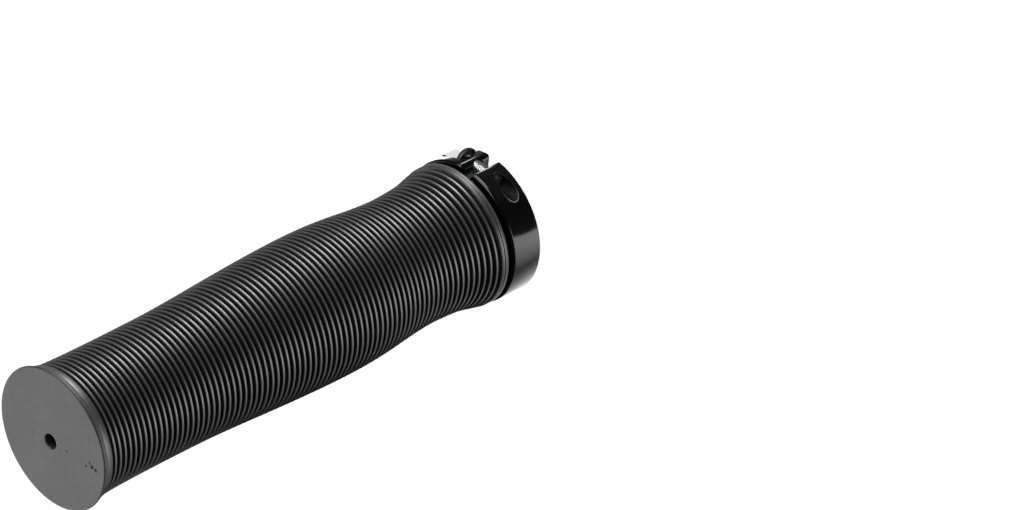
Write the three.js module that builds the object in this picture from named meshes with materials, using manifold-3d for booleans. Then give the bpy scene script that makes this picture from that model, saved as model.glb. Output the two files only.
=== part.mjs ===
// Handlebar grip for a 22.2 mm bar: a ribbed rubber sleeve on a hard core, held by a split clamp collar.
// Units are millimetres. The grip stands on its collar: +Z runs up the bar axis to the closed end.
import * as THREE from 'three';
import { mergeVertices } from 'three/addons/utils/BufferGeometryUtils.js';
import Module from 'manifold-3d';

// Overall
const TOTAL_LENGTH = 130;
const BAR_DIAMETER = 22.2;
const BAR_CLEARANCE = 0.1;
const PART_GAP = 0.3;

// Inner core
const CORE_SEGMENTS = 64;
const CORE_WALL = 1.4;
const SPIGOT_WALL = 1;
const SPIGOT_RECESS = 0.6;
const SPIGOT_SLIT_WIDTH = 2.4;
const SHOULDER_HEIGHT = 2.8;
const SHOULDER_LENGTH = 0.75;

// Rubber sleeve; its heights are measured out from the core
const SLEEVE_SEGMENTS = 32;
const RIB_PITCH = 1.523;
const RIB_DEPTH = 0.9;
// Pitches from each land to the crest of the rib next to it
const EDGE_GROOVE = 0.75;
// Crest height against the distance along the ribs, as a share of their length from the closed end
const CREST_KNOTS = [
  [0, 3.24], [0.027, 2.99], [0.064, 2.85], [0.138, 2.74], [0.212, 2.74], [0.286, 2.83],
  [0.36, 3.16], [0.434, 3.6], [0.507, 3.99], [0.581, 4.27], [0.637, 4.35], [0.692, 4.21],
  [0.747, 3.76], [0.803, 3.08], [0.859, 2.62], [0.905, 2.68], [0.951, 3.08], [0.973, 3.6],
  [1, 4.25],
];
const END_WALL = 2.4;
const VENT_RADIUS = 1.8;
// The vent hole lies a little off the bar axis
const VENT_X = -0.25;
const VENT_Y = 1.2;
const VENT_SEGMENTS = 24;
const RIM_HEIGHT = 4.4;
const RIM_ROUND = 0.35;
// The rim tapers in from its widest place to its foot, and steps down to the land there
const RIM_TAPER = 0.45;
const RIM_LENGTH = 1.35;
const STEP_LENGTH = 0.1;
const END_LAND_HEIGHT = 3.46;
const END_LAND_LENGTH = 1.8;
const COLLAR_LAND_HEIGHT = 4.34;
const COLLAR_LAND_LENGTH = 2.1;
const LAND_EDGE = 0.15;
const LAND_LINE_WIDTH = 0.3;
const LAND_LINE_DEPTH = 0.2;

// Clamp collar
const COLLAR_SEGMENTS = 96;
const COLLAR_WALL = 4.7;
const COLLAR_LENGTH = 8.3;
const COLLAR_CHAMFER = 0.4;
const SLOT_WIDTH = 3.3;
// Angle of the slot from -Y towards +X
const SLOT_ANGLE = THREE.MathUtils.degToRad(41.5);
const HEAD_EAR_THICKNESS = 3;
// Round of the head ear's outer edge beside the slot
const HEAD_EAR_ROUND = 1.3;
const HEAD_EAR_SEGMENTS = 6;
const HEAD_POCKET_CLEARANCE = 0.15;
const HEAD_POCKET_WALL = 0.6;

// Clamp bolt
const BOLT_SEGMENTS = 32;
const BOLT_AXIS_OVER_BORE = 2.5;
const THREAD_RADIUS = 1.5;
const BOLT_LENGTH = 10;
const HEAD_RADIUS = 2.75;
// The button head: a low rim, then a dome up to a small flat round the socket
const HEAD_LENGTH = 1.65;
const HEAD_RIM = 0.35;
const HEAD_FLAT_RADIUS = 1.35;
const DOME_STEPS = 4;
const POINT_CHAMFER = 0.25;
const SOCKET_ACROSS_FLATS = 2;
const SOCKET_DEPTH = 1;

// How far a cutting body runs past what it cuts
const CUT_MARGIN = 1;

const BORE_RADIUS = BAR_DIAMETER / 2 + BAR_CLEARANCE;
const CORE_RADIUS = BORE_RADIUS + CORE_WALL;
const SPIGOT_RADIUS = BORE_RADIUS + SPIGOT_WALL;
const COLLAR_BORE_RADIUS = SPIGOT_RADIUS + PART_GAP;
const COLLAR_RADIUS = COLLAR_BORE_RADIUS + COLLAR_WALL;
const BOLT_AXIS_RADIUS = COLLAR_BORE_RADIUS + BOLT_AXIS_OVER_BORE;
const HEAD_POCKET_RADIUS = HEAD_RADIUS + HEAD_POCKET_CLEARANCE;
const BOLT_Z = HEAD_POCKET_WALL + HEAD_POCKET_RADIUS;
const SEAT_FROM_SLOT_MIDDLE = SLOT_WIDTH / 2 + HEAD_EAR_THICKNESS;

const SHOULDER_FOOT = COLLAR_LENGTH + PART_GAP;
const SHOULDER_TOP = SHOULDER_FOOT + SHOULDER_LENGTH;
const SLEEVE_FOOT = SHOULDER_TOP + PART_GAP;
const COLLAR_LAND_TOP = SLEEVE_FOOT + COLLAR_LAND_LENGTH;
const END_LAND_TOP = TOTAL_LENGTH - RIM_LENGTH - STEP_LENGTH;
const END_LAND_FOOT = END_LAND_TOP - END_LAND_LENGTH;
const END_WALL_FOOT = TOTAL_LENGTH - END_WALL;
const CORE_TOP = END_WALL_FOOT - PART_GAP;

const wasm = await Module();
wasm.setup();

const point = (radius, z) => new THREE.Vector2(radius, z);

// Radius to the corners of a round with flat sides whose flats lie at the given radius
const cornerRadius = (flatRadius, segments) => flatRadius / Math.cos(Math.PI / segments);

// Cubic through the knots, with a slope at each knot taken from its neighbours
function crestRadius(share) {
  const last = CREST_KNOTS.length - 1;
  let i = 0;
  while (i < last - 1 && share > CREST_KNOTS[i + 1][0]) i += 1;
  const slope = (k) => {
    const [x0, y0] = CREST_KNOTS[Math.max(k - 1, 0)];
    const [x1, y1] = CREST_KNOTS[Math.min(k + 1, last)];
    return (y1 - y0) / (x1 - x0);
  };
  const [xa, ya] = CREST_KNOTS[i];
  const [xb, yb] = CREST_KNOTS[i + 1];
  const width = xb - xa;
  const t = (share - xa) / width;
  const ease = t * t * (3 - 2 * t);
  const bend = t * (1 - t) * (1 - t) * slope(i) - t * t * (1 - t) * slope(i + 1);
  return CORE_RADIUS + ya + (yb - ya) * ease + width * bend;
}

// Turns a profile about Z; the profile runs up the outside and down the inside
const turned = (profile, segments) => new THREE.LatheGeometry(profile, segments).rotateX(Math.PI / 2);

const closed = (profile) => [...profile, profile[0]];

function solid(geometry) {
  const bare = geometry.clone();
  bare.deleteAttribute('normal');
  bare.deleteAttribute('uv');
  const merged = mergeVertices(bare, 1e-5);
  return new wasm.Manifold(new wasm.Mesh({
    numProp: 3,
    vertProperties: new Float32Array(merged.attributes.position.array),
    triVerts: new Uint32Array(merged.index.array),
  }));
}

function geometryOf(body) {
  const mesh = body.getMesh();
  const geometry = new THREE.BufferGeometry();
  geometry.setAttribute('position', new THREE.BufferAttribute(new Float32Array(mesh.vertProperties), 3));
  geometry.setIndex(new THREE.BufferAttribute(new Uint32Array(mesh.triVerts), 1));
  geometry.computeVertexNormals();
  return geometry;
}

// Raises an outline in the slot's own frame: out from the bar axis, across the slot towards the head ear
function slotPrism(outline, fromZ, toZ) {
  return new THREE.ExtrudeGeometry(new THREE.Shape(outline), { depth: toZ - fromZ, bevelEnabled: false })
    .translate(0, 0, fromZ)
    .rotateZ(SLOT_ANGLE - Math.PI / 2);
}

function slotBox([fromOut, toOut], [fromAcross, toAcross], [fromZ, toZ]) {
  const outline = [
    point(fromOut, fromAcross), point(toOut, fromAcross), point(toOut, toAcross), point(fromOut, toAcross),
  ];
  return slotPrism(outline, fromZ, toZ);
}

// What is cut off the head ear's outer edge: all outside a round that meets the slot's wall and the rim
function earRound() {
  const wall = SLOT_WIDTH / 2;
  const centreAcross = wall + HEAD_EAR_ROUND;
  const centreOut = Math.sqrt((COLLAR_RADIUS - HEAD_EAR_ROUND) ** 2 - centreAcross ** 2);
  const start = Math.atan2(centreAcross, centreOut);
  const outline = [];
  for (let k = 0; k <= HEAD_EAR_SEGMENTS; k += 1) {
    const turn = start - (start + Math.PI / 2) * (k / HEAD_EAR_SEGMENTS);
    const out = centreOut + HEAD_EAR_ROUND * Math.cos(turn);
    outline.push(point(out, centreAcross + HEAD_EAR_ROUND * Math.sin(turn)));
  }
  const beyond = COLLAR_RADIUS + CUT_MARGIN;
  outline.push(point(centreOut, 0), point(beyond, 0), point(beyond, outline[0].y));
  return slotPrism(outline.reverse(), -CUT_MARGIN, COLLAR_LENGTH + CUT_MARGIN);
}

// Turns a profile that starts and ends on the bolt axis; its height runs from the head towards the thread
function aboutBoltAxis(profile, segments) {
  return new THREE.LatheGeometry(profile, segments)
    .rotateZ(Math.PI)
    .translate(BOLT_AXIS_RADIUS, 0, BOLT_Z)
    .rotateZ(SLOT_ANGLE - Math.PI / 2);
}

function boltCylinder(radius, from, to) {
  return aboutBoltAxis([point(0, from), point(radius, from), point(radius, to), point(0, to)], BOLT_SEGMENTS);
}

// The ribs from the collar's land up to the closed end's land: a valley, then a crest, for each
function ribProfile() {
  const length = END_LAND_FOOT - COLLAR_LAND_TOP;
  const edges = 2 * EDGE_GROOVE - 1;
  const count = Math.round(length / RIB_PITCH - edges);
  const pitch = length / (count + edges);
  const points = [];
  for (let k = 0; k < count; k += 1) {
    const height = (EDGE_GROOVE + k) * pitch;
    const radius = crestRadius(1 - height / length);
    points.push(point(radius - RIB_DEPTH, COLLAR_LAND_TOP + height - pitch / 2));
    points.push(point(radius, COLLAR_LAND_TOP + height));
  }
  points.push(point(crestRadius(0) - RIB_DEPTH, END_LAND_FOOT - pitch * (EDGE_GROOVE - 0.5)));
  return points;
}

function collarLandProfile() {
  const line = SLEEVE_FOOT + COLLAR_LAND_LENGTH / 2;
  const radius = CORE_RADIUS + COLLAR_LAND_HEIGHT;
  return [
    point(radius - LAND_EDGE, SLEEVE_FOOT),
    point(radius, SLEEVE_FOOT + LAND_EDGE),
    point(radius, line - LAND_LINE_WIDTH / 2),
    point(radius - LAND_LINE_DEPTH, line),
    point(radius, line + LAND_LINE_WIDTH / 2),
    point(radius, COLLAR_LAND_TOP - LAND_EDGE),
  ];
}

// The land beside the ribs, the step and the taper out to the rim, and the rim's round up to the flat face
function closedEndProfile() {
  const landRadius = CORE_RADIUS + END_LAND_HEIGHT;
  const rimRadius = CORE_RADIUS + RIM_HEIGHT;
  const eighth = RIM_ROUND * (1 - Math.SQRT1_2);
  return [
    point(landRadius, END_LAND_FOOT),
    point(landRadius, END_LAND_TOP),
    point(rimRadius - RIM_TAPER, TOTAL_LENGTH - RIM_LENGTH),
    point(rimRadius, TOTAL_LENGTH - RIM_ROUND),
    point(rimRadius - eighth, TOTAL_LENGTH - eighth),
    point(rimRadius - RIM_ROUND, TOTAL_LENGTH),
  ];
}

function sleeveGeometry() {
  const inner = cornerRadius(CORE_RADIUS + PART_GAP, SLEEVE_SEGMENTS);
  const sleeve = turned([
    point(0, END_WALL_FOOT),
    point(inner, END_WALL_FOOT),
    point(inner, SLEEVE_FOOT),
    ...collarLandProfile(),
    ...ribProfile(),
    ...closedEndProfile(),
    point(0, TOTAL_LENGTH),
  ], SLEEVE_SEGMENTS);
  const vent = new THREE.CylinderGeometry(VENT_RADIUS, VENT_RADIUS, END_WALL + 2 * CUT_MARGIN, VENT_SEGMENTS)
    .rotateX(Math.PI / 2)
    .translate(VENT_X, VENT_Y, TOTAL_LENGTH - END_WALL / 2);
  return geometryOf(solid(sleeve).subtract(solid(vent)));
}

function coreGeometry() {
  const bore = cornerRadius(BORE_RADIUS, CORE_SEGMENTS);
  const tube = turned(closed([
    point(bore, SPIGOT_RECESS),
    point(SPIGOT_RADIUS, SPIGOT_RECESS),
    point(SPIGOT_RADIUS, SHOULDER_FOOT),
    point(CORE_RADIUS + SHOULDER_HEIGHT, SHOULDER_FOOT),
    point(CORE_RADIUS + SHOULDER_HEIGHT, SHOULDER_TOP),
    point(CORE_RADIUS, SHOULDER_TOP),
    point(CORE_RADIUS, CORE_TOP),
    point(bore, CORE_TOP),
  ]), CORE_SEGMENTS);
  const slitHalf = SPIGOT_SLIT_WIDTH / 2;
  const slitHeights = [SPIGOT_RECESS - CUT_MARGIN, COLLAR_LENGTH];
  const slit = slotBox([0, COLLAR_RADIUS], [-slitHalf, slitHalf], slitHeights);
  return geometryOf(solid(tube).subtract(solid(slit)));
}

function collarGeometry() {
  const bore = cornerRadius(COLLAR_BORE_RADIUS, COLLAR_SEGMENTS);
  const ring = turned(closed([
    point(bore, 0),
    point(COLLAR_RADIUS - COLLAR_CHAMFER, 0),
    point(COLLAR_RADIUS, COLLAR_CHAMFER),
    point(COLLAR_RADIUS, COLLAR_LENGTH - COLLAR_CHAMFER),
    point(COLLAR_RADIUS - COLLAR_CHAMFER, COLLAR_LENGTH),
    point(bore, COLLAR_LENGTH),
  ]), COLLAR_SEGMENTS);
  const beyond = COLLAR_RADIUS + CUT_MARGIN;
  const through = [-CUT_MARGIN, COLLAR_LENGTH + CUT_MARGIN];
  const slot = slotBox([0, beyond], [-SLOT_WIDTH / 2, SLOT_WIDTH / 2], through);
  const hole = boltCylinder(THREAD_RADIUS + PART_GAP, -COLLAR_RADIUS, COLLAR_RADIUS);
  const pocket = boltCylinder(HEAD_POCKET_RADIUS, -COLLAR_RADIUS, -SEAT_FROM_SLOT_MIDDLE);
  const pocketFloor = BOLT_AXIS_RADIUS - HEAD_POCKET_RADIUS;
  const notch = slotBox([pocketFloor, beyond], [SEAT_FROM_SLOT_MIDDLE, beyond], [-CUT_MARGIN, BOLT_Z]);
  const cuts = [slot, earRound(), hole, pocket, notch];
  return geometryOf(cuts.reduce((body, cut) => body.subtract(solid(cut)), solid(ring)));
}

// The head's dome, from the flat round the socket down to the rim
function domeProfile(under) {
  const points = [];
  for (let k = 0; k <= DOME_STEPS; k += 1) {
    const turn = (Math.PI / 2) * (k / DOME_STEPS);
    const radius = HEAD_FLAT_RADIUS + (HEAD_RADIUS - HEAD_FLAT_RADIUS) * Math.sin(turn);
    points.push(point(radius, under - HEAD_RIM - (HEAD_LENGTH - HEAD_RIM) * Math.cos(turn)));
  }
  return points;
}

function boltGeometry() {
  const under = -SEAT_FROM_SLOT_MIDDLE - PART_GAP;
  const top = under - HEAD_LENGTH;
  const body = aboutBoltAxis([
    point(0, top),
    ...domeProfile(under),
    point(HEAD_RADIUS, under),
    point(THREAD_RADIUS, under),
    point(THREAD_RADIUS, under + BOLT_LENGTH - POINT_CHAMFER),
    point(THREAD_RADIUS - POINT_CHAMFER, under + BOLT_LENGTH),
    point(0, under + BOLT_LENGTH),
  ], BOLT_SEGMENTS);
  const hexRadius = cornerRadius(SOCKET_ACROSS_FLATS / 2, 6);
  const socket = aboutBoltAxis([
    point(0, top - CUT_MARGIN),
    point(hexRadius, top - CUT_MARGIN),
    point(hexRadius, top + SOCKET_DEPTH),
    point(0, top + SOCKET_DEPTH),
  ], 6);
  return geometryOf(solid(body).subtract(solid(socket)));
}

function piece(name, geometry, color, roughness, metalness) {
  const material = new THREE.MeshStandardMaterial({ name, color, roughness, metalness });
  const mesh = new THREE.Mesh(geometry, material);
  mesh.name = name;
  return mesh;
}

const grip = new THREE.Group();
grip.name = 'handlebar_grip';
grip.add(piece('rubber_sleeve', sleeveGeometry(), 0x2b2b2c, 0.7, 0));
grip.add(piece('inner_core', coreGeometry(), 0x1d1d1f, 0.55, 0));
grip.add(piece('clamp_collar', collarGeometry(), 0x0c0c0d, 0.25, 1));
grip.add(piece('clamp_bolt', boltGeometry(), 0x868b90, 0.25, 1));

export default grip;
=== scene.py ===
"""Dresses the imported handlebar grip: ribbed sleeve, clamp collar, clamp bolt, core, floor and light.

The meshes are drawn in millimetres about the bar axis and published in metres, in the CAD frame:
the grip stands on its collar, +Z runs up the bar axis to the closed end.
"""
import logging
import math
from dataclasses import dataclass, field
from enum import Enum
from typing import Any, Iterable, Optional

import bmesh
import bpy
from mathutils import Matrix, Vector


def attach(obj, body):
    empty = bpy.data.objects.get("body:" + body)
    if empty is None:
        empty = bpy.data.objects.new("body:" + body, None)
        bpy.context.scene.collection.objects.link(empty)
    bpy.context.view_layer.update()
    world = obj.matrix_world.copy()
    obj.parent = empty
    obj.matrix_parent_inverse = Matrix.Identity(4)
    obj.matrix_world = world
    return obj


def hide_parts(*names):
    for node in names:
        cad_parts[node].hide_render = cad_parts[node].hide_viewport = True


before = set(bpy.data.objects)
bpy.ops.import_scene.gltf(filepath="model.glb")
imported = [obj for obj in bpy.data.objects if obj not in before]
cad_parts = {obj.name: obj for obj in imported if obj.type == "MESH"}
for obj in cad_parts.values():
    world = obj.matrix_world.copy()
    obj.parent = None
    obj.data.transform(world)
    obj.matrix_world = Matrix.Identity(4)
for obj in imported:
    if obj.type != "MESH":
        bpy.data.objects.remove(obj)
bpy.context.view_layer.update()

logging.basicConfig(level=logging.INFO, format="%(message)s")
LOG = logging.getLogger("grip")

MM = 0.001
FULL_TURN = 2 * math.pi
ROOT = "root"
GROOVE_LAYER = "height_over_groove"
# Marks the bolt's parts that are painted dark as painted shade
SHADED_BOLT_LAYER = "bolt_painted_shade"
# How far a cutter runs past the face that it opens, in millimetres
PAST_FACE = 1.0

Profile = list[tuple[float, float]]
Span = tuple[float, float]
Colour = tuple[float, float, float, float]


class Part(Enum):
    """The grip's separate pieces, by the name of their node in the CAD frame."""

    SLEEVE = "rubber_sleeve"
    CORE = "inner_core"
    COLLAR = "clamp_collar"
    BOLT = "clamp_bolt"


class Lit(Enum):
    """Which pieces a light reaches."""

    ALL = tuple(Part)
    RUBBER = (Part.SLEEVE,)
    COLLAR = (Part.COLLAR,)


class Edge(Enum):
    """How sharp an edge has to be, in degrees, to keep a crease in its shading."""

    MOULDED = 50
    MACHINED = 28


def srgb(code: str) -> Colour:
    """Turns an sRGB hex value to linear light.

    Args:
        code: Colour as six hex digits, with or without a hash sign.

    Returns:
        Linear red, green, blue and an alpha of one.
    """
    digits = code.lstrip("#")
    linear = []
    for i in (0, 2, 4):
        value = int(digits[i:i + 2], 16) / 255
        linear.append(value / 12.92 if value <= 0.04045 else ((value + 0.055) / 1.055) ** 2.4)
    return (linear[0], linear[1], linear[2], 1.0)


def add_node(
    tree: bpy.types.NodeTree, kind: str, inputs: Optional[dict] = None, **settings: Any,
) -> bpy.types.Node:
    """Adds a node with its settings, values and links.

    Args:
        tree: Node tree that takes the node.
        kind: Type name of the node.
        inputs: Input name or number to a value, or to the output socket that feeds it.
        **settings: The node's own settings.

    Returns:
        The new node.
    """
    node = tree.nodes.new(kind)
    for name, value in settings.items():
        setattr(node, name, value)
    for name, value in (inputs or {}).items():
        if isinstance(value, bpy.types.NodeSocket):
            tree.links.new(value, node.inputs[name])
        else:
            node.inputs[name].default_value = value
    return node


def draw_wire(bm: bmesh.types.BMesh, points: Profile) -> list[bmesh.types.BMVert]:
    """Draws an open profile in the XZ plane, drawn out vertex by vertex.

    Args:
        bm: Mesh that takes the wire.
        points: Radius and height of each corner, in order.

    Returns:
        The wire's vertices, in order.
    """
    radius, height = points[0]
    tip = bmesh.ops.create_vert(bm, co=(radius, 0, height))["vert"][0]
    verts = [tip]
    for radius, height in points[1:]:
        tip = bmesh.ops.extrude_vert_indiv(bm, verts=[tip])["verts"][0]
        tip.co = (radius, 0, height)
        verts.append(tip)
    return verts


def round_corners(
    bm: bmesh.types.BMesh, corners: Iterable[bmesh.types.BMVert], size: float, steps: int = 2,
) -> None:
    """Rounds corners of a wire.

    Args:
        bm: Mesh of the wire.
        corners: Vertices to round.
        size: Distance along the wire that each round takes.
        steps: Straight steps in each round.
    """
    bmesh.ops.bevel(
        bm, geom=list(corners), offset=size, segments=steps, profile=0.5, affect="VERTICES", material=-1,
    )


def revolve(bm: bmesh.types.BMesh, steps: int) -> None:
    """Turns everything in the mesh a full turn about Z.

    Args:
        bm: Mesh that holds the profile.
        steps: Steps in the turn.
    """
    bmesh.ops.spin(
        bm, geom=[*bm.verts, *bm.edges], cent=(0, 0, 0), axis=(0, 0, 1), angle=FULL_TURN, steps=steps,
        use_merge=True,
    )
    tidy(bm)


def tidy(bm: bmesh.types.BMesh, merge: float = 1e-4) -> None:
    """Merges doubles and points all faces outwards.

    Args:
        bm: Mesh to tidy.
        merge: Distance under which vertices become one, in millimetres.
    """
    bmesh.ops.remove_doubles(bm, verts=bm.verts, dist=merge)
    bmesh.ops.recalc_face_normals(bm, faces=bm.faces)


def turned_solid(profile: Profile, steps: int, closed: bool = False) -> bmesh.types.BMesh:
    """Turns a profile into a solid about Z.

    Args:
        profile: Radius and height of each corner; an open profile starts and ends on the axis.
        steps: Steps in the turn.
        closed: Whether the last corner joins the first.

    Returns:
        The solid as a new mesh.
    """
    bm = bmesh.new()
    verts = draw_wire(bm, profile)
    if closed:
        bm.edges.new((verts[-1], verts[0]))
    revolve(bm, steps)
    return bm


def mesh_object(bm: bmesh.types.BMesh, name: str) -> bpy.types.Object:
    """Puts a mesh into a new object of the scene and frees the working mesh.

    Args:
        bm: Mesh to store.
        name: Name of the object and of its mesh.

    Returns:
        The object, at the origin.
    """
    mesh = bpy.data.meshes.new(name)
    bm.to_mesh(mesh)
    bm.free()
    obj = bpy.data.objects.new(name, mesh)
    bpy.context.scene.collection.objects.link(obj)
    return obj


def carve(body: bmesh.types.BMesh, cutters: list[bmesh.types.BMesh]) -> bmesh.types.BMesh:
    """Cuts solids out of a body.

    The manifold solver is used because the exact one gave different results from run to run here.

    Args:
        body: Closed solid to work on.
        cutters: Closed solids to cut out of it, in order.

    Returns:
        The result as a new mesh.
    """
    work = mesh_object(body, "work")
    tools = [mesh_object(cutter, "cutter") for cutter in cutters]
    for tool in tools:
        step = work.modifiers.new("cut", "BOOLEAN")
        step.operation = "DIFFERENCE"
        step.solver = "MANIFOLD"
        step.object = tool
    graph = bpy.context.evaluated_depsgraph_get()
    carved = bmesh.new()
    carved.from_mesh(work.evaluated_get(graph).to_mesh())
    for obj in (work, *tools):
        mesh = obj.data
        bpy.data.objects.remove(obj)
        bpy.data.meshes.remove(mesh)
    tidy(carved)
    return carved


def publish(bm: bmesh.types.BMesh, part: Part, material: bpy.types.Material, edge: Edge) -> bpy.types.Object:
    """Makes the finished piece: metres, smooth shading, material, and its place in the CAD frame.

    Args:
        bm: Mesh in millimetres.
        part: The piece, which stands for the CAD node of the same name.
        material: Its finish.
        edge: How sharp an edge keeps its crease.

    Returns:
        The piece.
    """
    bmesh.ops.scale(bm, vec=(MM, MM, MM), verts=bm.verts)
    obj = mesh_object(bm, f"{part.value}_dressed")
    mesh = obj.data
    mesh.polygons.foreach_set("use_smooth", [True] * len(mesh.polygons))
    mesh.set_sharp_from_angle(angle=math.radians(edge.value))
    mesh.materials.append(material)
    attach(obj, ROOT)
    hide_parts(part.value)
    LOG.info("%s: %d faces, %s", obj.name, len(mesh.polygons), material.name)
    return obj


@dataclass(frozen=True)
class MouldedRubber:
    """Black rubber from a spark-eroded mould: matt, with a faint bloom and a fine even grain."""

    name: str = "moulded_black_rubber"
    # The grooves and the rim's taper are painted near black, as painted shade; the crests keep the rubber's own
    # tone; the lands and faces are painted lighter, as painted light
    groove: str = "#040404"
    crest: str = "#1c1c1c"
    # Tone of the lands and faces: painted light, lighter than the crests, varied at random by the flecks
    land: str = "#111111"
    land_fleck: str = "#2c2c2c"
    bloom: str = "#1f1f1e"
    soil: str = "#030303"
    roughness: tuple[float, float] = (0.4, 0.46)
    groove_roughness: float = 0.6
    # Share of a rib's height under which its side looks like the groove, and over which like the crest
    groove_edge: tuple[float, float] = (0.6, 0.97)
    # The real grain is about 0.1 mm; it is drawn at 0.45 mm, so that it shows in the render
    grain_mm: float = 0.45
    bloom_mm: float = 9.0
    fleck_mm: float = 0.9
    # Centre on the closed end and radius of each dark speck of dirt, in millimetres
    specks: tuple[tuple[float, float, float], ...] = (
        (-9.28, -8.82, 0.55), (-10.2, -9.52, 0.5), (-8.17, -8.75, 0.4), (-8.41, -6.97, 0.32),
        (-3.65, -2.84, 0.3),
    )
    # Grain of the specks' ragged edges, how far a speck reaches for its radius, and the closed end's height
    speck_grain_mm: float = 0.7
    speck_reach: float = 1.6
    end_height: float = 130.0

    def material(self) -> bpy.types.Material:
        """Builds the rubber.

        Returns:
            The material.
        """
        material = bpy.data.materials.new(self.name)
        material.use_nodes = True
        tree = material.node_tree
        shader = tree.nodes["Principled BSDF"]
        place = add_node(tree, "ShaderNodeTexCoord").outputs["Object"]
        patches = add_node(tree, "ShaderNodeTexNoise", {
            "Vector": place, "Scale": 1 / (self.bloom_mm * MM), "Detail": 4.0, "Roughness": 0.6,
        }).outputs["Fac"]
        grain = add_node(tree, "ShaderNodeTexNoise", {
            "Vector": place, "Scale": 1 / (self.grain_mm * MM), "Detail": 2.0, "Roughness": 0.55,
        }).outputs["Fac"]
        height = add_node(tree, "ShaderNodeAttribute", attribute_name=GROOVE_LAYER).outputs["Fac"]
        raised = add_node(tree, "ShaderNodeMapRange", {
            "Value": height, "From Min": self.groove_edge[0], "From Max": self.groove_edge[1],
        }).outputs["Result"]
        # Mask of the lands and faces, which are painted lighter as painted light
        painted_light_mask = add_node(tree, "ShaderNodeMapRange", {
            "Value": height, "From Min": 1.0, "From Max": 2.0,
        }).outputs["Result"]
        # Rib sides fade from the grooves' painted shade, near black, up to the crests' own tone
        rib = add_node(tree, "ShaderNodeMix", {
            "Factor": raised, "A": srgb(self.groove), "B": srgb(self.crest),
        }, data_type="RGBA")
        mottle = add_node(tree, "ShaderNodeTexNoise", {
            "Vector": place, "Scale": 1 / (self.fleck_mm * MM), "Detail": 2.0, "Roughness": 0.5,
        }).outputs["Fac"]
        flecks = add_node(tree, "ShaderNodeMapRange", {
            "Value": mottle, "From Min": 0.38, "From Max": 0.62,
        }).outputs["Result"]
        # The lands' and faces' painted light, with random flecks
        land = add_node(tree, "ShaderNodeMix", {
            "Factor": flecks, "A": srgb(self.land), "B": srgb(self.land_fleck),
        }, data_type="RGBA")
        moulded = add_node(tree, "ShaderNodeMix", {
            "Factor": painted_light_mask, "A": rib.outputs["Result"], "B": land.outputs["Result"],
        }, data_type="RGBA")
        bloomed = add_node(tree, "ShaderNodeMath", {0: patches, 1: raised}, operation="MULTIPLY").outputs[0]
        tone = add_node(tree, "ShaderNodeMix", {
            "Factor": bloomed, "A": moulded.outputs["Result"], "B": srgb(self.bloom),
        }, data_type="RGBA")
        speck = self.speck_mask(tree, place)
        dirty = add_node(tree, "ShaderNodeMix", {
            "Factor": speck, "A": tone.outputs["Result"], "B": srgb(self.soil),
        }, data_type="RGBA")
        dull = add_node(tree, "ShaderNodeMapRange", {
            "Value": patches, "From Min": 0.3, "From Max": 0.7, "To Min": self.roughness[0],
            "To Max": self.roughness[1],
        }).outputs["Result"]
        raw = add_node(tree, "ShaderNodeMapRange", {
            "Value": raised, "To Min": self.groove_roughness, "To Max": dull,
        }).outputs["Result"]
        rough = add_node(tree, "ShaderNodeMath", {0: raw, 1: speck}, operation="MAXIMUM").outputs[0]
        bump = add_node(tree, "ShaderNodeBump", {"Height": grain, "Strength": 0.35, "Distance": 0.05 * MM})
        tree.links.new(dirty.outputs["Result"], shader.inputs["Base Color"])
        tree.links.new(rough, shader.inputs["Roughness"])
        tree.links.new(bump.outputs["Normal"], shader.inputs["Normal"])
        shader.inputs["IOR"].default_value = 1.52
        return material

    def speck_mask(self, tree: bpy.types.NodeTree, place: bpy.types.NodeSocket) -> bpy.types.NodeSocket:
        """Marks the specks of dirt on the closed end.

        Args:
            tree: Node tree of the rubber.
            place: Object coordinates.

        Returns:
            A socket that is one on a speck and zero off it.
        """
        ragged = add_node(tree, "ShaderNodeTexNoise", {
            "Vector": place, "Scale": 1 / (self.speck_grain_mm * MM), "Detail": 3.0,
        })
        total: Optional[bpy.types.NodeSocket] = None
        for x, y, radius in self.specks:
            away = add_node(tree, "ShaderNodeVectorMath", {
                0: place, 1: (x * MM, y * MM, self.end_height * MM),
            }, operation="DISTANCE").outputs["Value"]
            edge = add_node(tree, "ShaderNodeMath", {
                0: ragged.outputs["Fac"], 1: self.speck_reach * radius * MM,
            }, operation="MULTIPLY").outputs[0]
            dot = add_node(tree, "ShaderNodeMath", {0: away, 1: edge}, operation="LESS_THAN").outputs[0]
            if total is not None:
                dot = add_node(tree, "ShaderNodeMath", {0: total, 1: dot}, operation="MAXIMUM").outputs[0]
            total = dot
        return total


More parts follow.
